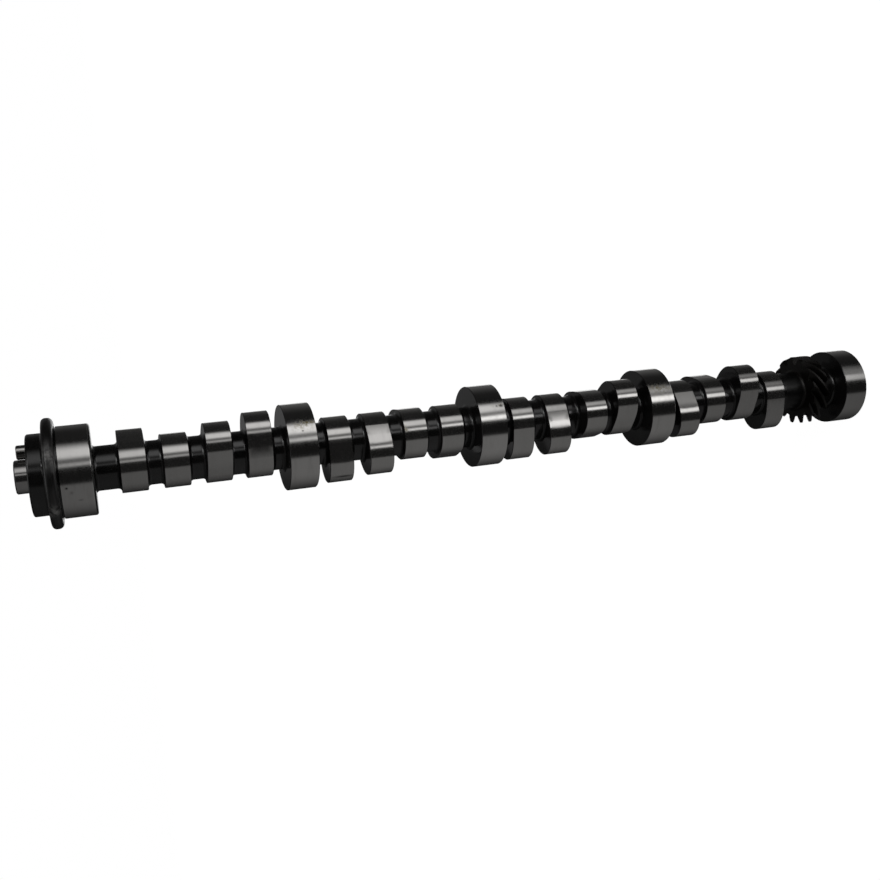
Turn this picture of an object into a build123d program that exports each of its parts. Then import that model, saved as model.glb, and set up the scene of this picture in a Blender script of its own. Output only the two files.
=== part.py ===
from build123d import *
import os
from math import acos, atan2, cos, degrees, hypot, radians, sin, tan

# Camshaft of a V8 engine with roller lifters: five bearing journals, sixteen lobes, a thrust
# flange and sprocket hub at the nose, and a helical gear that drives the distributor.
# Millimetres. Z runs along the cam's axis, from the rear end face (Z = 0) up to the nose,
# and the dowel pin stands on the +X side. Angles turn counter-clockwise seen from the nose.

# --- Driving dimensions ---------------------------------------------------------------------

# Bearings: the diameters step down by half a millimetre from front to rear, so that the
# shaft slides into the block from the front.
BEARING_PITCH = 117.475  # 4 5/8 in
FRONT_JOURNAL_DIAMETER = 51.7
JOURNAL_STEP = 0.5
JOURNAL_WIDTH = 17.0
FRONT_JOURNAL_WIDTH = 18.0
REAR_JOURNAL_WIDTH = 17.1
FOURTH_TO_REAR_END = 160.5  # centre of the fourth journal to the rear end face
FRONT_JOURNAL_REAR_EDGE = 114.8  # from the centre of the second journal

# Lobes: every journal and lobe between the second and the fourth journal sits on one pitch.
STATION_PITCH = BEARING_PITCH / 5
LOBE_WIDTH = 14.5
REAR_LOBES_FORWARD = 1.2  # of their stations, for the four lobes behind the fourth journal
BASE_CIRCLE_RADIUS = 15.5
INTAKE_LIFT = 8.6
EXHAUST_LIFT = 8.4
HALF_DURATION = 83.0  # cam degrees from the lobe's centre line to the base circle
ROLLER_RADIUS = 9.525  # lifter roller, 3/4 in across
FLANK_POINTS = 12  # on each side of the lobe's nose

# Timing: the lobe centre lines of cylinder 1 before its bank's offset, from the dowel pin.
INTAKE_CENTRE = 88.1
LOBE_SEPARATION = 104.0
BANK_OFFSET = 39.0
FIRING_ORDER = (1, 8, 4, 3, 6, 5, 7, 2)
FIRING_INTERVAL = 45.0  # cam degrees
LOBE_ORDER = "1I 2I 1E 2E 3I 4I 3E 4E 5E 6E 5I 6I 7E 8E 7I 8I".split()

# Shaft between the lobes.
CORE_RADIUS = 12.65
CORE_FILLET = 2.0
EDGE_BREAK = 0.3
REAR_EDGE_BREAK = 0.5
FRONT_JOURNAL_LEAD = 1.5

# Nose, from the front journal forwards.
RELIEF_WIDTH = 0.8
RELIEF_RADIUS = 25.1
UNDERCUT_DEPTH = 0.3  # into the flange, inside its thrust face
UNDERCUT_RADIUS = 26.4
FLANGE_THICKNESS = 6.25
FLANGE_RADIUS = 31.0
FLANGE_FRONT_ROUND = 2.3
FLANGE_REAR_ROUND = 2.8
HUB_LENGTH = 8.75
HUB_RADIUS = 23.0
HUB_EDGE_ROUND = 1.2
HUB_ROOT_FILLET = 1.2
BOSS_LENGTH = 7.4
BOSS_RADIUS = 9.4
BOSS_CHAMFER = 0.6

# Dowel pin, pressed into the hub.
DOWEL_RADIUS = 3.97
DOWEL_CIRCLE_RADIUS = 13.45
DOWEL_PROUD = 5.55
DOWEL_DEPTH = 12.0
DOWEL_CHAMFER = 0.5

# Sprocket bolt hole for a 7/16 in bolt, bored to the outer radius of its thread, and the
# centre hole in the rear face.
TAP_RADIUS = 5.556
TAP_DEPTH = 30.0
COUNTERSINK_RADIUS = 6.5
DRILL_POINT_ANGLE = 59.0  # half of the drill's point
CENTRE_HOLE_RADIUS = 4.5
CENTRE_HOLE_ANGLE = 30.0  # half of the seat's cone
CENTRE_PILOT_RADIUS = 1.6
CENTRE_PILOT_DEPTH = 11.0

# Distributor drive gear: 13 right-hand teeth cut into a collar behind the last lobe.
GEAR_TEETH = 13
GEAR_NORMAL_MODULE = 1.88
GEAR_HELIX_ANGLE = 54.7
GEAR_PRESSURE_ANGLE = 20.0
GEAR_REAR = 29.85  # rear face of the gear, from the rear end face
GEAR_WIDTH = 12.0
GEAR_TIP_RADIUS = 23.3
GEAR_ROOT_RADIUS = 18.4
GEAR_END_CHAMFER = 0.8
GEAR_FRONT_TOOTH = -164.4  # a tooth's centre at the front face
GEAR_GAP_SECTIONS = 8
GEAR_CUT_OVERRUN = 1.0  # how far the gap's cutter runs out past each face
GEAR_CUT_CLEARANCE = 1.2  # and past the tips

# --- Places worked out from them ------------------------------------------------------------

fourth_centre = FOURTH_TO_REAR_END
third_centre = fourth_centre + BEARING_PITCH
second_centre = third_centre + BEARING_PITCH
front_journal_rear = second_centre + FRONT_JOURNAL_REAR_EDGE
front_journal_front = front_journal_rear + FRONT_JOURNAL_WIDTH
flange_rear = front_journal_front + RELIEF_WIDTH
flange_front = flange_rear + FLANGE_THICKNESS
hub_front = flange_front + HUB_LENGTH
nose_end = hub_front + BOSS_LENGTH

JOURNALS = ("front", "second", "third", "fourth", "rear")
journal_radius = {
    name: (FRONT_JOURNAL_DIAMETER - JOURNAL_STEP * step) / 2 for step, name in enumerate(JOURNALS)
}
journal_span = {
    "front": (front_journal_rear, front_journal_front),
    "second": (second_centre - JOURNAL_WIDTH / 2, second_centre + JOURNAL_WIDTH / 2),
    "third": (third_centre - JOURNAL_WIDTH / 2, third_centre + JOURNAL_WIDTH / 2),
    "fourth": (fourth_centre - JOURNAL_WIDTH / 2, fourth_centre + JOURNAL_WIDTH / 2),
    "rear": (0.0, REAR_JOURNAL_WIDTH),
}

# The sixteen lobes take the stations on both sides of the second, third and fourth journals,
# four between each pair, counted rearwards from the second journal.
lobe_stations = [n for n in range(-4, 15) if n % 5]
lobe_centre = [second_centre - n * STATION_PITCH for n in lobe_stations]
lobe_centre = [z + REAR_LOBES_FORWARD if z < fourth_centre else z for z in lobe_centre]


def lobe_angle(lobe):
    """Where a lobe such as "3E" points: its valve's centre line, its cylinder's turn in the
    firing order, and its bank's offset."""
    cylinder, valve = int(lobe[0]), lobe[1]
    centre = INTAKE_CENTRE if valve == "I" else INTAKE_CENTRE - LOBE_SEPARATION
    bank = -BANK_OFFSET if cylinder % 2 else BANK_OFFSET
    return centre + FIRING_INTERVAL * FIRING_ORDER.index(cylinder) + bank


def flank_point(turn, lift):
    """The cam's surface where the roller touches it, turn degrees from the nose. The roller's
    centre follows base circle + roller + lift * (1 - (turn / half duration)^2)^2, and the
    surface lies one roller radius inside that path, square to it."""
    share = turn / HALF_DURATION
    reach = BASE_CIRCLE_RADIUS + ROLLER_RADIUS + lift * (1 - share**2) ** 2
    slope = -4 * lift * share * (1 - share**2) / radians(HALF_DURATION)
    at = radians(turn)
    path_x = slope * cos(at) - reach * sin(at)
    path_y = slope * sin(at) + reach * cos(at)
    length = hypot(path_x, path_y)
    return (
        reach * cos(at) - ROLLER_RADIUS * path_y / length,
        reach * sin(at) + ROLLER_RADIUS * path_x / length,
    )


def involute_half_angle(radius):
    """Half the angle that one tooth fills at this radius, in the plane across the axis."""
    pitch_radius = GEAR_TEETH * GEAR_NORMAL_MODULE / cos(radians(GEAR_HELIX_ANGLE)) / 2
    across = tan(radians(GEAR_PRESSURE_ANGLE)) / cos(radians(GEAR_HELIX_ANGLE))
    base_radius = pitch_radius * cos(atan2(across, 1))

    def involute(at_radius):
        pressure = acos(base_radius / at_radius)
        return degrees(tan(pressure) - pressure)

    return 90 / GEAR_TEETH + involute(pitch_radius) - involute(radius)


def polar(radius, angle):
    return (radius * cos(radians(angle)), radius * sin(radians(angle)))


# --- Turned body ----------------------------------------------------------------------------
# One half profile, revolved: journals, the roots of the lobes, the gear's collar and the nose,
# with the round fillets that the forging has where each of them meets the core.

LOBE_ROOT_RADIUS = BASE_CIRCLE_RADIUS - EDGE_BREAK
collars = [(*journal_span[name], journal_radius[name]) for name in JOURNALS[1:]]
collars += [(z - LOBE_WIDTH / 2, z + LOBE_WIDTH / 2, LOBE_ROOT_RADIUS) for z in lobe_centre]
collars += [(GEAR_REAR, GEAR_REAR + GEAR_WIDTH, GEAR_TIP_RADIUS)]
outline = [(0.0, 0.0)]
for low, high, radius in sorted(collars):
    if low > 0:
        outline.append((CORE_RADIUS, low))
    outline += [(radius, low), (radius, high), (CORE_RADIUS, high)]
outline += [
    (CORE_RADIUS, front_journal_rear),
    (journal_radius["front"], front_journal_rear),
    (journal_radius["front"], front_journal_front),
    (RELIEF_RADIUS, front_journal_front),
    (RELIEF_RADIUS, flange_rear + UNDERCUT_DEPTH),
    (UNDERCUT_RADIUS, flange_rear + UNDERCUT_DEPTH),
    (UNDERCUT_RADIUS, flange_rear),
    (FLANGE_RADIUS, flange_rear),
    (FLANGE_RADIUS, flange_front),
    (HUB_RADIUS, flange_front),
    (HUB_RADIUS, hub_front),
    (BOSS_RADIUS, hub_front),
    (BOSS_RADIUS, nose_end),
    (0.0, nose_end),
]


def corners(radius, *heights):
    """The half profile's corners at one radius, all of them or only those at these heights."""
    found = half_profile.vertices().filter_by(lambda v: abs(v.X - radius) < 1e-4)
    if heights:
        found = found.filter_by(lambda v: min(abs(v.Y - height) for height in heights) < 1e-4)
    return found


with BuildPart() as turned_body:
    with BuildSketch(Plane.XZ) as half_profile:
        with BuildLine():
            Polyline(*outline, close=True)
        make_face()
        fillet(corners(CORE_RADIUS), CORE_FILLET)
        chamfer(corners(journal_radius["rear"], 0), REAR_EDGE_BREAK)
        for name in JOURNALS[1:]:
            chamfer(corners(journal_radius[name], *journal_span[name]), EDGE_BREAK)
        chamfer(corners(GEAR_TIP_RADIUS, GEAR_REAR, GEAR_REAR + GEAR_WIDTH), GEAR_END_CHAMFER)
        fillet(corners(journal_radius["front"], front_journal_rear), FRONT_JOURNAL_LEAD)
        chamfer(corners(journal_radius["front"], front_journal_front), EDGE_BREAK)
        fillet(corners(FLANGE_RADIUS, flange_rear), FLANGE_REAR_ROUND)
        fillet(corners(FLANGE_RADIUS, flange_front), FLANGE_FRONT_ROUND)
        fillet(corners(HUB_RADIUS, flange_front), HUB_ROOT_FILLET)
        fillet(corners(HUB_RADIUS, hub_front), HUB_EDGE_ROUND)
        chamfer(corners(BOSS_RADIUS, nose_end), BOSS_CHAMFER)
    revolve(axis=Axis.Z)


# --- Lobes ----------------------------------------------------------------------------------
# One intake and one exhaust lobe, each with its nose on +X and its rear face on Z = 0.


def lobe_outline(lift):
    """The base circle's arc, closed by the flanks and nose that the roller lifter rides on."""
    turns = [HALF_DURATION * (n / FLANK_POINTS - 1) for n in range(2 * FLANK_POINTS + 1)]
    flanks = [flank_point(turn, lift) for turn in turns]
    along_start = polar(1, 90 - HALF_DURATION)
    along_end = polar(1, 90 + HALF_DURATION)
    Spline(*flanks, tangents=(along_start, along_end))
    ThreePointArc(flanks[-1], (-BASE_CIRCLE_RADIUS, 0), flanks[0])


with BuildPart() as intake_lobe:
    with BuildSketch():
        with BuildLine():
            lobe_outline(INTAKE_LIFT)
        make_face()
    extrude(amount=LOBE_WIDTH)
    chamfer(edges().group_by(Axis.Z)[0] + edges().group_by(Axis.Z)[-1], EDGE_BREAK)

with BuildPart() as exhaust_lobe:
    with BuildSketch():
        with BuildLine():
            lobe_outline(EXHAUST_LIFT)
        make_face()
    extrude(amount=LOBE_WIDTH)
    chamfer(edges().group_by(Axis.Z)[0] + edges().group_by(Axis.Z)[-1], EDGE_BREAK)


# --- Distributor drive gear -----------------------------------------------------------------
# The gap between two teeth, lofted through sections that turn with the helix. It runs out past
# both faces of the collar, and it is cut once for each tooth.

gear_pitch_radius = GEAR_TEETH * GEAR_NORMAL_MODULE / cos(radians(GEAR_HELIX_ANGLE)) / 2
twist_per_mm = degrees(tan(radians(GEAR_HELIX_ANGLE)) / gear_pitch_radius)
gear_front = GEAR_REAR + GEAR_WIDTH
gap_start = GEAR_REAR - GEAR_CUT_OVERRUN
gap_step = (GEAR_WIDTH + 2 * GEAR_CUT_OVERRUN) / GEAR_GAP_SECTIONS
half_pitch = 180 / GEAR_TEETH
gap_radii = (GEAR_ROOT_RADIUS, gear_pitch_radius, GEAR_TIP_RADIUS + GEAR_CUT_CLEARANCE)

with BuildPart() as gear_gap:
    for section in range(GEAR_GAP_SECTIONS + 1):
        height = gap_start + section * gap_step
        turn = GEAR_FRONT_TOOTH + half_pitch + (height - gear_front) * twist_per_mm
        with BuildSketch(Plane((0, 0, height), x_dir=(*polar(1, turn), 0), z_dir=(0, 0, 1))):
            with BuildLine():
                flank = [polar(r, half_pitch - involute_half_angle(r)) for r in gap_radii]
                far_flank = [(x, -y) for x, y in reversed(flank)]
                upper = Spline(*flank)
                lower = Spline(*far_flank)
                Line(upper @ 1, lower @ 0)
                Line(lower @ 1, upper @ 0)
            make_face()
    loft()


# --- Camshaft -------------------------------------------------------------------------------
# The forging with everything that is ground, cut and drilled on it, as one piece.

with BuildPart() as camshaft:
    add(turned_body.part)
    for lobe, z in zip(LOBE_ORDER, lobe_centre):
        with Locations(Location((0, 0, z - LOBE_WIDTH / 2), (0, 0, lobe_angle(lobe)))):
            add(intake_lobe.part if lobe[1] == "I" else exhaust_lobe.part)
    with PolarLocations(0, GEAR_TEETH):
        add(gear_gap.part, mode=Mode.SUBTRACT)

    # Tapped hole for the sprocket bolt, countersunk at 90 degrees and drilled to a point.
    tap_bottom = nose_end - TAP_DEPTH
    with BuildSketch(Plane.XZ):
        with BuildLine():
            Polyline(
                (0, nose_end),
                (COUNTERSINK_RADIUS, nose_end),
                (TAP_RADIUS, nose_end - (COUNTERSINK_RADIUS - TAP_RADIUS)),
                (TAP_RADIUS, tap_bottom),
                (0, tap_bottom - TAP_RADIUS / tan(radians(DRILL_POINT_ANGLE))),
                close=True,
            )
        make_face()
    revolve(axis=Axis.Z, mode=Mode.SUBTRACT)

    # Centre hole in the rear face: a 60-degree seat for the grinder's centre, with its pilot.
    seat_depth = (CENTRE_HOLE_RADIUS - CENTRE_PILOT_RADIUS) / tan(radians(CENTRE_HOLE_ANGLE))
    with BuildSketch(Plane.XZ):
        with BuildLine():
            Polyline(
                (0, 0),
                (CENTRE_HOLE_RADIUS, 0),
                (CENTRE_PILOT_RADIUS, seat_depth),
                (CENTRE_PILOT_RADIUS, CENTRE_PILOT_DEPTH),
                (0, CENTRE_PILOT_DEPTH + CENTRE_PILOT_RADIUS / tan(radians(DRILL_POINT_ANGLE))),
                close=True,
            )
        make_face()
    revolve(axis=Axis.Z, mode=Mode.SUBTRACT)

    # Blind hole that the dowel pin is pressed into.
    with Locations((DOWEL_CIRCLE_RADIUS, 0, hub_front)):
        Hole(DOWEL_RADIUS, DOWEL_DEPTH)


# --- Dowel pin ------------------------------------------------------------------------------
# A hardened pin that turns the timing sprocket with the cam.

with BuildPart() as dowel_pin:
    with BuildSketch(Plane((DOWEL_CIRCLE_RADIUS, 0, hub_front - DOWEL_DEPTH))):
        Circle(DOWEL_RADIUS)
    extrude(amount=DOWEL_DEPTH + DOWEL_PROUD)
    chamfer(edges().filter_by(GeomType.CIRCLE), DOWEL_CHAMFER)


os.makedirs("parts", exist_ok=True)
camshaft.part.label = "camshaft"
export_step(camshaft.part, "parts/camshaft.step")
dowel_pin.part.label = "dowel_pin"
export_step(dowel_pin.part, "parts/dowel_pin.step")
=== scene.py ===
import bpy
from math import degrees, radians, tan
from mathutils import Matrix, Vector


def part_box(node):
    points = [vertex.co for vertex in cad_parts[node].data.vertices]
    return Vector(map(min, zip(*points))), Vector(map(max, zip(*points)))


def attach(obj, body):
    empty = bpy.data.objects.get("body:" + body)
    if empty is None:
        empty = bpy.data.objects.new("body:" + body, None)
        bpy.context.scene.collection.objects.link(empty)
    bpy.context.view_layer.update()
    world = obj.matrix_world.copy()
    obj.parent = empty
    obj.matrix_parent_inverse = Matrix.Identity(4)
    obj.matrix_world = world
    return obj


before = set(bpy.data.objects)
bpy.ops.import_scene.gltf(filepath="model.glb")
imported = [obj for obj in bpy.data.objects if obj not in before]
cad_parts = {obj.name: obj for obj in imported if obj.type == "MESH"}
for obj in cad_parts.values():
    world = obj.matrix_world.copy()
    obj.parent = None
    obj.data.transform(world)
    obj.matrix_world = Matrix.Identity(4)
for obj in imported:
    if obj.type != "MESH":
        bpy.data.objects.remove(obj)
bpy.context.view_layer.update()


# --- Studio ---------------------------------------------------------------------------------
# The shaft stands on its rear end on a pale floor, and the camera lies on its side beside it.
# Two tall soft boxes with a dark gap between them light it, and lamps above and below them. A
# grey table is on one hand, and a white backdrop behind.

CAMERA_PLACE = Vector((0.01555, -0.60474, 0.50338))
CAMERA_AIM = Vector((-0.00617, 0.00009, 0.30556))
PICTURE_UP = Vector((0.99403, 0.0, -0.1091))
LENS_MM = 41.8
SENSOR_MM = 36.0
FLOOR_SIZE = 40.0
WHITE = (1, 1, 1, 1)
FLOOR_GREY = (0.8, 0.8, 0.8, 1)
GLOW_SHARE, GLOW = 0.75, 1.3  # of the floor's look that is plain white; the rest takes the shadow

look = (CAMERA_AIM - CAMERA_PLACE).normalized()
side = look.cross(PICTURE_UP).normalized()
upward = side.cross(look)
camera = bpy.data.objects.new("camera", bpy.data.cameras.new("camera"))
camera.matrix_world = Matrix.Translation(CAMERA_PLACE) @ Matrix((side, upward, -look)).transposed().to_4x4()
camera.data.lens = LENS_MM
camera.data.sensor_width = SENSOR_MM
bpy.context.scene.collection.objects.link(camera)
bpy.context.scene.camera = camera
bpy.context.scene.view_settings.view_transform = "Standard"


class Shade:
    """One output of a node tree. Arithmetic on it adds Math nodes to the tree."""

    def __init__(self, tree, socket=None):
        self.tree, self.socket = tree, socket

    def node(self, kind, sockets=None, settings=None, out=0):
        """Adds a node, with its settings made first, then its sockets, and returns an output."""
        new = self.tree.nodes.new("ShaderNode" + kind)
        for name, value in (settings or {}).items():
            setattr(new, name, value)
        for name, value in (sockets or {}).items():
            if isinstance(value, Shade):
                self.tree.links.new(value.socket, new.inputs[name])
            else:
                new.inputs[name].default_value = value
        return Shade(self.tree, new.outputs[out] if new.outputs else None)

    def math(self, operation, *others):
        return self.node("Math", dict(enumerate((self, *others))), {"operation": operation})

    def __add__(self, other):
        return self.math("ADD", other)

    def __sub__(self, other):
        return self.math("SUBTRACT", other)

    def __mul__(self, other):
        return self.math("MULTIPLY", other)

    def __truediv__(self, other):
        return self.math("DIVIDE", other)

    def __rsub__(self, other):
        return self * -1.0 + other

    __radd__, __rmul__ = __add__, __mul__

    def split(self):
        """The X, Y and Z of a vector."""
        first = self.node("SeparateXYZ", {0: self})
        return [Shade(self.tree, output) for output in first.socket.node.outputs]

    def above(self, edge, soft):
        """0 below the edge and 1 above it, over a soft width."""
        half = soft / 2
        sockets = {"Value": self, "From Min": edge - half, "From Max": edge + half}
        return self.node("MapRange", sockets, {"interpolation_type": "SMOOTHSTEP"})

    def within(self, low, high, soft):
        """1 between two edges and 0 outside them, over a soft width."""
        return self.above(low, soft) * (1 - self.above(high, soft))

    def bell(self, centre, spread):
        """1 at the centre, falling off on both sides as a bell curve."""
        away = (self - centre) / spread
        return (away * away * -0.5).math("EXPONENT")


# The studio as the steel sees it, by direction: degrees round the shaft from the camera's side
# towards the dowel, and degrees of elevation. A pair is where something ends and over how many
# degrees, and three numbers are where it starts and ends and over how many degrees. A glow is
# the elevation it is brightest at, its spread, its strength there and its least strength.
NEAR_BOX_EDGES = ((13.5, 7.0), (21.0, 8.0))
NEAR_BOX_GLOW = (-26.0, 9.5, 1.43, 0.46)
FAR_BOX_EDGES = ((34.5, 13.0), (59.5, 13.0))
FAR_BOX_GLOW = (-11.0, 13.5, 1.17, 0.05)
FAR_BOX_TOP = (-4.0, 14.0)  # above it, the box ends later and more softly
FAR_BOX_TOP_LATER, FAR_BOX_TOP_SOFTER = 6.5, 15.0
GAP_LEAN, GAP_LEAN_EDGE = 9.0, (-23.0, 22.0)  # below it, the gap leans away from the near box
BRIDGE_EDGES, BRIDGE_TOP, BRIDGE = (18.0, 38.0, 10.0), (1.0, 5.0), 0.16
BOX_FOOT = (-40.5, 7.0)
TABLE_EDGE, TABLE_FADE, TABLE_LEAST = (-30.0, 5.0), (-116.0, 80.0), 0.1
TABLE_GLOW = (-19.0, 17.0, 0.12, 0.065)
TABLE_FOOT, TABLE_FOOT_DARK = (-38.0, 10.0), 0.3
BACKDROP_EDGES, BACKDROP_TOP, BACKDROP = (-7.0, 20.0, 8.0), (-2.0, 6.0), 0.95
HAZE_EDGES, HAZE_HEIGHT, HAZE = ((-2.0, 4.0), (40.0, 50.0)), (2.0, 40.0, 10.0), 0.13
SPILL_EDGE, SPILL_TOP, SPILL = (130.0, 70.0), (-4.0, 16.0), 0.12
CEILING_EDGE, CEILING = (62.0, 30.0), 0.2
CEILING_LAMP_EDGE, CEILING_LAMP = (125.0, 50.0), 0.5
FAR_WALL_EDGE, FAR_WALL = (80.0, 30.0), 0.007
UPPER_LAMP_EDGES, UPPER_LAMP_HEIGHT, UPPER_LAMP = (30.0, 46.0, 12.0), (24.0, 52.0, 14.0), 2.2
UPPER_BOX_EDGES, UPPER_BOX_HEIGHT, UPPER_BOX = (16.0, 54.0, 8.0), (9.0, 48.0, 10.0), 0.7
LOWER_LAMP_EDGES, LOWER_LAMP_TOP, LOWER_LAMP = (10.0, 60.0, 10.0), (-48.0, 12.0), 1.0
UNDER_EDGE, UNDER = (-62.0, 20.0), 0.2
DIMMEST = 0.01

world = bpy.data.worlds.new("studio")
world.use_nodes = True
world.node_tree.nodes.clear()
bpy.context.scene.world = world
studio = Shade(world.node_tree)
east, north, height = studio.node("TexCoord", out="Generated").split()
turn = east.math("ARCTAN2", north * -1.0) * degrees(1)
behind = east.math("ARCTAN2", north) * degrees(1)  # the same, but from the far side
elevation = height.math("ARCSINE") * degrees(1)


def glow(brightest, spread, strength, least):
    """Strength by elevation."""
    return elevation.bell(brightest, spread) * strength + least


turn_at_gap = turn - (1 - elevation.above(*GAP_LEAN_EDGE)) * GAP_LEAN
near_box = turn.above(*NEAR_BOX_EDGES[0]) * (1 - turn_at_gap.above(*NEAR_BOX_EDGES[1]))
near_box = near_box * glow(*NEAR_BOX_GLOW)
bridge = turn_at_gap.within(*BRIDGE_EDGES) * (1 - elevation.above(*BRIDGE_TOP)) * BRIDGE
far_end, far_soft = FAR_BOX_EDGES[1]
far_top = elevation.above(*FAR_BOX_TOP)
far_box = turn.above(far_top * FAR_BOX_TOP_LATER + far_end, far_top * FAR_BOX_TOP_SOFTER + far_soft)
far_box = turn_at_gap.above(*FAR_BOX_EDGES[0]) * (1 - far_box) * glow(*FAR_BOX_GLOW)
boxes = (near_box + far_box) * elevation.above(*BOX_FOOT)
table = (1 - turn.above(*TABLE_EDGE)) * (turn.above(*TABLE_FADE) * (1 - TABLE_LEAST) + TABLE_LEAST)
table_foot = elevation.above(*TABLE_FOOT) * TABLE_FOOT_DARK + (1 - TABLE_FOOT_DARK)
table = table * glow(*TABLE_GLOW) * table_foot
backdrop = behind.within(*BACKDROP_EDGES) * (1 - elevation.above(*BACKDROP_TOP)) * BACKDROP
haze = behind.above(*HAZE_EDGES[0]) * (1 - behind.above(*HAZE_EDGES[1]))
haze = haze * elevation.within(*HAZE_HEIGHT) * HAZE
spill = turn.above(*SPILL_EDGE) * (1 - elevation.above(*SPILL_TOP)) * SPILL
ceiling = turn.math("ABSOLUTE").above(*CEILING_LAMP_EDGE) * CEILING_LAMP + CEILING
ceiling = elevation.above(*CEILING_EDGE) * ceiling + turn.above(*FAR_WALL_EDGE) * FAR_WALL
lamps = turn.within(*UPPER_LAMP_EDGES) * elevation.within(*UPPER_LAMP_HEIGHT) * UPPER_LAMP
lamps = lamps + turn.within(*UPPER_BOX_EDGES) * elevation.within(*UPPER_BOX_HEIGHT) * UPPER_BOX
lamps = lamps + turn.within(*LOWER_LAMP_EDGES) * (1 - elevation.above(*LOWER_LAMP_TOP)) * LOWER_LAMP
under = (1 - elevation.above(*UNDER_EDGE)) * UNDER
room = boxes + bridge + lamps + table + backdrop + haze + spill + ceiling + under + DIMMEST

# The camera sees plain white, and the steel sees the studio.
background = studio.node("Background", {"Color": WHITE, "Strength": room})
white = studio.node("Background", {"Color": WHITE, "Strength": 1.0})
camera_ray = studio.node("LightPath", out="Is Camera Ray")
seen = camera_ray.math("MAXIMUM", studio.node("LightPath", out="Is Transmission Ray"))
studio.node("OutputWorld", {"Surface": studio.node("MixShader", {0: seen, 1: background, 2: white})})

bpy.ops.mesh.primitive_plane_add(size=FLOOR_SIZE, location=(0, 0, 0))
floor = bpy.context.object
floor.name = "floor"
paper = bpy.data.materials.new("white_paper")
paper.use_nodes = True
paper.node_tree.nodes.clear()
sheet = Shade(paper.node_tree)
matt = sheet.node("BsdfDiffuse", {"Color": FLOOR_GREY})
lit = sheet.node("Emission", {"Strength": GLOW})
glow_share = sheet.node("LightPath", out="Is Camera Ray") * GLOW_SHARE
sheet.node("OutputMaterial", {"Surface": sheet.node("MixShader", {0: glow_share, 1: matt, 2: lit})})
floor.data.materials.append(paper)
floor.visible_glossy = False


# --- Camshaft -------------------------------------------------------------------------------
# One steel forging, blackened all over and oiled, with the journals, the lobes and the nose
# boss then ground bright. The flange's rim is satin, its black worn through in one place, and it
# carries a painted highlight of lighter steel where the soft boxes' reflection falls.

MM = 0.001
NOSE_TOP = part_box("camshaft")[1].z / MM
BOSS_LENGTH, HUB_LENGTH, FLANGE_THICKNESS = 7.4, 8.75, 6.25
RELIEF_WIDTH, FRONT_JOURNAL_WIDTH = 0.8, 18.0
BEARING_PITCH = 117.475
SECOND_TO_FRONT_JOURNAL = 114.8  # from the second one's centre to the front one's rear edge
LOBE_SPACING = BEARING_PITCH / 5  # four lobes stand between two journals
GEAR_REAR, GEAR_FRONT = 28.5, 43.2
TAP_DEPTH = 36.0
CENTRE_HOLE_DEPTH = 13.0
# Where one finish gives way to another, and over what width, both in mm.
LOBE_ROOT = (14.6, 0.4)  # between the radii of the core and of the lobes
LEAD_ROOT = (21.5, 0.5)  # between those of the core and of the front journal's lead
JOURNAL_ROOT = (24.5, 0.3)  # between those of the lobes' noses and of the journals
RIM_ROOT = (27.6, 1.0)  # where the flange's front face ends and its round begins
BORE_EDGE, BOSS_EDGE = 6.6, 10.0
CENTRE_HOLE_EDGE = 4.6
CRISP, SHOULDER_SOFT, GEAR_SOFT = 0.1, 0.2, 0.5
LEAD_BEHIND, LEAD_AHEAD, LEAD_SOFT = 2.0, 1.1, 0.3  # of the front journal's rear edge
ZONE_BEHIND, ZONE_AHEAD, ZONE_SOFT = 8.0, 14.0, 5.0  # of the gear, where the core is duller
END_FACE = (0.6, 0.1)  # how far a face looks up or down before it is left black

hub_front = NOSE_TOP - BOSS_LENGTH
flange_front = hub_front - HUB_LENGTH
flange_rear = flange_front - FLANGE_THICKNESS
journal_front = flange_rear - RELIEF_WIDTH
journal_rear = journal_front - FRONT_JOURNAL_WIDTH
second_centre = journal_rear - SECOND_TO_FRONT_JOURNAL
third_centre = second_centre - BEARING_PITCH
fourth_centre = third_centre - BEARING_PITCH

steel = bpy.data.materials.new("cam_steel")
steel.use_nodes = True
steel.node_tree.nodes.clear()
cam = Shade(steel.node_tree)
place = cam.node("TexCoord", out="Object")
x, y, z = (part / MM for part in place.split())
radius = (x * x + y * y).math("SQRT")
around = x.math("ARCTAN2", y * -1.0) * degrees(1)  # degrees from the -Y side towards the dowel
facing_z = cam.node("TexCoord", out="Normal").split()[2].math("ABSOLUTE")
side_wall = 1 - facing_z.above(*END_FACE)

# Ground bright are the outsides of the journals, the lobes and the boss. The gear, the core
# round it and the rounded lead behind the front journal are left black.
on_gear = z.within(GEAR_REAR, GEAR_FRONT, GEAR_SOFT)
round_gear = z.within(GEAR_REAR - ZONE_BEHIND, GEAR_FRONT + ZONE_AHEAD, ZONE_SOFT)
round_gear = round_gear * (1 - radius.above(*LOBE_ROOT))
round_gear = round_gear.math("MAXIMUM", on_gear)
on_lead = z.within(journal_rear - LEAD_BEHIND, journal_rear + LEAD_AHEAD, LEAD_SOFT)
on_lead = on_lead * radius.above(*LEAD_ROOT)
ground = side_wall * radius.above(*LOBE_ROOT) * (1 - z.above(journal_front, SHOULDER_SOFT))
ground = ground * (1 - on_gear) * (1 - on_lead)
on_boss = z.above(hub_front + SHOULDER_SOFT, SHOULDER_SOFT) * radius.within(BORE_EDGE, BOSS_EDGE, CRISP)
ground = ground.math("MAXIMUM", on_boss * side_wall)
on_lobe = ground * (1 - radius.above(*JOURNAL_ROOT))
on_rim = radius.above(*RIM_ROOT)
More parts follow.
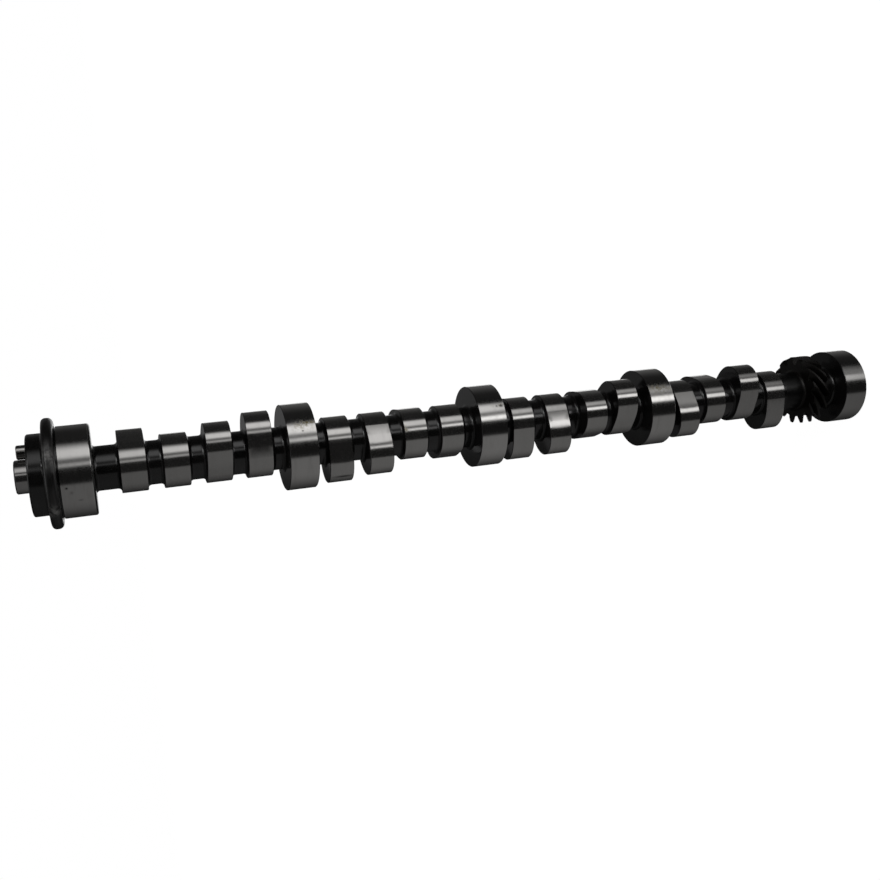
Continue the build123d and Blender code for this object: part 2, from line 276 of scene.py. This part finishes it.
# Bored and left grey: the tapped hole in the boss and the centre hole in the rear face.
in_tap = z.above(NOSE_TOP - TAP_DEPTH, CRISP) * (1 - radius.above(BORE_EDGE, CRISP))
in_centre = (1 - z.above(CENTRE_HOLE_DEPTH, CRISP)) * (1 - radius.above(CENTRE_HOLE_EDGE, CRISP))
bored = in_tap.math("MAXIMUM", in_centre)

# Noise: its scale and detail, and the cells to the metre along each axis where these differ.
GRIND_LINES = (1.0, 3.0, (12.0, 12.0, 2600.0))
SMEARS = (1.0, 4.0, (70.0, 70.0, 420.0))
BLOTCHES = (90.0, 6.0)
PITS = (420.0, 5.0)
NOISE_ROUGHNESS = 0.6


def noise(scale, detail, stretch=(1, 1, 1)):
    """Noise with this many cells to the metre along each axis."""
    where = place.node("Mapping", {"Vector": place, "Scale": stretch})
    sockets = {"Vector": where, "Scale": scale, "Detail": detail, "Roughness": NOISE_ROUGHNESS}
    return place.node("TexNoise", sockets)


grind_lines = noise(*GRIND_LINES)
smears = noise(*SMEARS)
blotches = noise(*BLOTCHES)
pits = noise(*PITS)

# Marks on the steel: where each is (degrees round, mm up), how far it spreads (degrees, mm) and
# how much of it shows. Handling stains are brown. Dark marks are painted near black, and the last
# of them is a line of oil along a lobe. On the flange's rim, lighter steel is painted in two
# patches: the first is a painted highlight where the soft boxes' reflection falls, and the second
# is worn black. The pits break up the stains and these patches.
STAINS = (
    (32.5, second_centre - 3.5, 2.6, 4.0, 1.1),
    (26.5, second_centre - 0.5, 3.5, 5.0, 0.3),
    (11.0, second_centre - 3 * LOBE_SPACING + 6.3, 6.0, 0.9, 0.6),
    (27.5, third_centre - 5.0, 2.0, 3.0, 0.4),
    (30.5, fourth_centre + 2.5, 4.0, 5.0, 0.5),
    (26.0, fourth_centre, 7.0, 9.0, 0.3),
)
# dark marks painted near black on the ground steel; the last is a line of oil along a lobe
DARK_MARKS = (
    (-18.6, journal_rear + 14.8, 0.9, 0.45, 1.0),
    (-25.0, journal_rear + 12.5, 1.6, 0.7, 0.3),
    (-36.5, journal_rear + 8.2, 0.9, 0.9, 0.35),
    (20.5, second_centre - 0.4, 0.6, 0.35, 0.8),
    (26.5, third_centre - 6.3, 1.5, 0.9, 0.75),
    (26.8, third_centre - 3.4, 1.3, 0.5, 0.5),
    (-65.0, second_centre - LOBE_SPACING - 1.0, 1.3, 4.0, 0.9),
)
RIM_WEAR_AND_HIGHLIGHT = (
    # painted highlight: lighter steel where the soft boxes' reflection falls on the rim
    (20.0, flange_rear + 3.2, 7.0, 3.0, 0.45),
    # worn through the black
    (-40.0, flange_rear + 3.6, 4.5, 2.2, 1.0),
)
STAIN_SPECKLE = (0.5, 0.2)
RIM_WEAR_AND_HIGHLIGHT_SPECKLE = (0.48, 0.3)


def marks(places):
    """A mask of spots that grow where they overlap."""
    mask = around * 0.0
    for turned, at, wide, tall, depth in places:
        mask = mask + around.bell(turned, wide) * z.bell(at, tall) * depth
    return mask


stained = marks(STAINS) * pits.above(*STAIN_SPECKLE) * ground
dark_marked = marks(DARK_MARKS) * ground
wear_and_highlight = marks(RIM_WEAR_AND_HIGHLIGHT) * pits.above(*RIM_WEAR_AND_HIGHLIGHT_SPECKLE) * on_rim

# Each finish runs from its darker colour to its lighter one.
JOURNAL_STEEL = ((0.53, 0.52, 0.507, 1), (0.6, 0.588, 0.575, 1))
LOBE_STEEL = ((0.42, 0.411, 0.4, 1), (0.49, 0.48, 0.468, 1))
BORED_STEEL = ((0.16, 0.155, 0.15, 1), (0.3, 0.29, 0.28, 1))
WEAR_AND_HIGHLIGHT_STEEL = (0.4, 0.39, 0.38, 1)
OILED_BLACK = ((0.004, 0.004, 0.004, 1), (0.014, 0.013, 0.0125, 1))
GEAR_BLACK = (0.0065, 0.005, 0.0038, 1)
SMEAR_GREY, SMEAR_EDGE, SMEAR_DEPTH = (0.3, 0.29, 0.28, 1), (0.6, 0.25), 0.15
STAIN_BROWN = (0.21, 0.175, 0.08, 1)
DARK_MARK_BLACK = (0.02, 0.02, 0.02, 1)


def mixed(a, b, share):
    """A colour between a and b, which are sockets 6 and 7 of a Mix node that mixes colours."""
    return share.node("Mix", {0: share, 6: a, 7: b}, {"data_type": "RGBA"}, out=2)


journal_colour = mixed(*JOURNAL_STEEL, grind_lines)
lobe_colour = mixed(*LOBE_STEEL, grind_lines)
ground_colour = mixed(journal_colour, lobe_colour, on_lobe)
ground_colour = mixed(ground_colour, SMEAR_GREY, smears.above(*SMEAR_EDGE) * SMEAR_DEPTH)
ground_colour = mixed(ground_colour, STAIN_BROWN, stained)
# dark marks, painted near black
ground_colour = mixed(ground_colour, DARK_MARK_BLACK, dark_marked)
black_colour = mixed(*OILED_BLACK, blotches)
black_colour = mixed(black_colour, GEAR_BLACK, on_gear)
bored_colour = mixed(*BORED_STEEL, grind_lines)
colour = mixed(black_colour, ground_colour, ground)
# lighter steel on the rim: a painted highlight, and a patch of worn black
colour = mixed(colour, WEAR_AND_HIGHLIGHT_STEEL, wear_and_highlight)
colour = mixed(colour, bored_colour, bored)

# Roughness of each finish, and what the lines, marks and zones on it add.
GROUND_ROUGH, LINES_ROUGH, MARKS_ROUGH, LOBE_SMOOTHER = 0.125, 0.05, 0.3, 0.015
SMEARS_ROUGH, SMEARS_ROUGH_EDGE = 0.03, (0.5, 0.4)
BLACK_ROUGH, BLOTCHES_ROUGH, ZONE_ROUGH = 0.13, 0.09, 0.2
RIM_ROUGH, WEAR_AND_HIGHLIGHT_ROUGH, BORED_ROUGH = 0.15, 0.1, 0.15
LOBE_OIL = 0.04  # how much of a lobe's shine is its film of oil, which lifts its dark zones
ZONE_METAL = 0.5  # how far the steel shows through the black round the gear
LINES_DEPTH, PITS_DEPTH = 0.15, 0.8
BUMP, BUMP_DISTANCE = 0.5, 0.00002
OILED_STEEL_IOR = 1.6

metal = ground - on_lobe * LOBE_OIL + wear_and_highlight + bored + round_gear * (1 - ground) * ZONE_METAL
metal = metal.math("MINIMUM", 1.0)
ground_rough = GROUND_ROUGH + grind_lines * LINES_ROUGH + smears.above(*SMEARS_ROUGH_EDGE) * SMEARS_ROUGH
ground_rough = ground_rough + (stained + dark_marked) * MARKS_ROUGH - on_lobe * LOBE_SMOOTHER
black_rough = BLACK_ROUGH + blotches * BLOTCHES_ROUGH + round_gear * ZONE_ROUGH
black_rough = black_rough + on_rim * RIM_ROUGH + wear_and_highlight * WEAR_AND_HIGHLIGHT_ROUGH + bored * BORED_ROUGH
rough = ground * ground_rough + (1 - ground) * black_rough
relief = grind_lines * ground * LINES_DEPTH + (1 - ground) * pits * PITS_DEPTH
bump = cam.node("Bump", {"Strength": BUMP, "Distance": BUMP_DISTANCE, "Height": relief})
finish = cam.node("BsdfPrincipled", {
    "Base Color": colour, "Metallic": metal, "Roughness": rough, "IOR": OILED_STEEL_IOR, "Normal": bump,
})
cam.node("OutputMaterial", {"Surface": finish})
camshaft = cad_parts["camshaft"]
camshaft.data.materials.clear()
camshaft.data.materials.append(steel)


# --- Dowel pin ------------------------------------------------------------------------------
# A hardened pin, ground and polished, pressed into the hub. Most of it, from its side towards
# the boss, is painted dark brown and made rougher: painted shade where the boss hides the studio
# from its reflection.

PIN_CENTRE = 13.45
PIN_LINES = (40.0, 40.0, 5000.0)
PIN_SMEARS = 500.0
PIN_DETAIL = 3.0
PIN_STEEL = ((0.42, 0.412, 0.4, 1), (0.58, 0.57, 0.555, 1))
BOSS_SIDE_SHADE_BROWN, BOSS_SIDE_SHADE_DEPTH = (0.05, 0.048, 0.045, 1), 0.85
BOSS_SIDE_SHADE_EDGE, BOSS_SIDE_SHADE_WAVE = (1.6, 1.2), 1.5  # how far out of the corner the painted shade ends, and how unevenly
PIN_ROUGH, PIN_SMEARS_ROUGH, BOSS_SIDE_SHADE_ROUGH = 0.08, 0.12, 0.12
PIN_BUMP, PIN_BUMP_DISTANCE = 0.2, 0.00001

pin_steel = bpy.data.materials.new("pin_steel")
pin_steel.use_nodes = True
pin_steel.node_tree.nodes.clear()
pin = Shade(pin_steel.node_tree)
pin_place = pin.node("TexCoord", out="Object")
across = pin_place.split()[0] / MM - PIN_CENTRE
pin_lines = pin.node("Mapping", {"Vector": pin_place, "Scale": PIN_LINES})
pin_lines = pin.node("TexNoise", {"Vector": pin_lines, "Scale": 1.0, "Detail": PIN_DETAIL})
pin_smears = pin.node("TexNoise", {"Vector": pin_place, "Scale": PIN_SMEARS, "Detail": PIN_DETAIL})
# painted shade: darker on the pin's side towards the boss, which hides the studio from its reflection there
boss_side_shade = 1 - (across + pin_smears * BOSS_SIDE_SHADE_WAVE).above(*BOSS_SIDE_SHADE_EDGE)
pin_colour = mixed(*PIN_STEEL, pin_lines)
# painted shade on the side towards the boss
pin_colour = mixed(pin_colour, BOSS_SIDE_SHADE_BROWN, boss_side_shade * BOSS_SIDE_SHADE_DEPTH)
pin_rough = pin_smears * PIN_SMEARS_ROUGH + PIN_ROUGH + boss_side_shade * BOSS_SIDE_SHADE_ROUGH
pin_bump = pin.node("Bump", {"Strength": PIN_BUMP, "Distance": PIN_BUMP_DISTANCE, "Height": pin_lines})
pin_finish = pin.node("BsdfPrincipled", {
    "Base Color": pin_colour, "Metallic": 1.0, "Roughness": pin_rough, "Normal": pin_bump,
})
pin.node("OutputMaterial", {"Surface": pin_finish})
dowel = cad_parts["dowel_pin"]
dowel.data.materials.clear()
dowel.data.materials.append(pin_steel)


# --- Bolt thread ----------------------------------------------------------------------------
# The thread that is tapped into the boss for the sprocket bolt, 7/16 in with 14 turns to the
# inch: a ridge that stands in from the bore's wall, flat along its crest.

INCH, TURNS_PER_INCH = 25.4, 14
THREAD_PITCH = INCH / TURNS_PER_INCH
THREAD_OUTER, THREAD_INNER = 5.556, 4.7
THREAD_DEPTH = 29.0
COUNTERSINK = 0.944
FLANK_ANGLE = radians(30)  # half of the thread's angle
ROOT_WIDTH = THREAD_PITCH * 7 / 8  # the last eighth is left flat along the bore's wall
TURN_STEPS = 48
MERGE = 1e-6
QUARTER_TURN, FULL_TURN = radians(90), radians(360)
SMOOTH_BELOW = radians(30)

# Whole turns, the uppermost of them ending half a turn below the countersink.
turns = int((THREAD_DEPTH - COUNTERSINK) / THREAD_PITCH) - 1
thread_bottom = NOSE_TOP - COUNTERSINK - (turns + 0.5) * THREAD_PITCH
ridge = THREAD_OUTER - THREAD_INNER
crest_width = ROOT_WIDTH - 2 * ridge * tan(FLANK_ANGLE)

bpy.ops.object.select_all(action="DESELECT")
middle = ((THREAD_OUTER + THREAD_INNER) / 2 * MM, 0, thread_bottom * MM)
bpy.ops.mesh.primitive_plane_add(size=ridge * MM, location=middle, rotation=(QUARTER_TURN, 0, 0))
thread = bpy.context.object
thread.name = "bolt_thread"
thread.data.name = "bolt_thread"
bpy.ops.object.transform_apply(location=True, rotation=True, scale=True)
bpy.ops.object.mode_set(mode="EDIT")
bpy.ops.transform.resize(value=(1, 1, ROOT_WIDTH / ridge), center_override=middle)
bpy.ops.mesh.select_all(action="DESELECT")
bpy.ops.object.mode_set(mode="OBJECT")
for corner in thread.data.vertices:
    corner.select = corner.co.x < middle[0]
bpy.ops.object.mode_set(mode="EDIT")
bpy.ops.transform.resize(value=(1, 1, crest_width / ROOT_WIDTH), center_override=middle)
bpy.ops.object.mode_set(mode="OBJECT")
winding = thread.modifiers.new("winding", "SCREW")
winding.axis = "Z"
winding.angle = FULL_TURN
winding.screw_offset = THREAD_PITCH * MM
winding.iterations = turns
winding.steps = TURN_STEPS
winding.render_steps = TURN_STEPS
bpy.ops.object.modifier_apply(modifier=winding.name)
bpy.ops.object.mode_set(mode="EDIT")
bpy.ops.mesh.select_all(action="SELECT")
bpy.ops.mesh.remove_doubles(threshold=MERGE)
bpy.ops.mesh.select_all(action="DESELECT")
bpy.ops.mesh.select_mode(type="EDGE")
bpy.ops.mesh.select_non_manifold()
bpy.ops.mesh.edge_face_add()
bpy.ops.mesh.select_all(action="SELECT")
bpy.ops.mesh.normals_make_consistent(inside=False)
bpy.ops.object.mode_set(mode="OBJECT")
bpy.ops.object.shade_smooth_by_angle(angle=SMOOTH_BELOW)
thread.data.materials.append(steel)
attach(thread, "root")
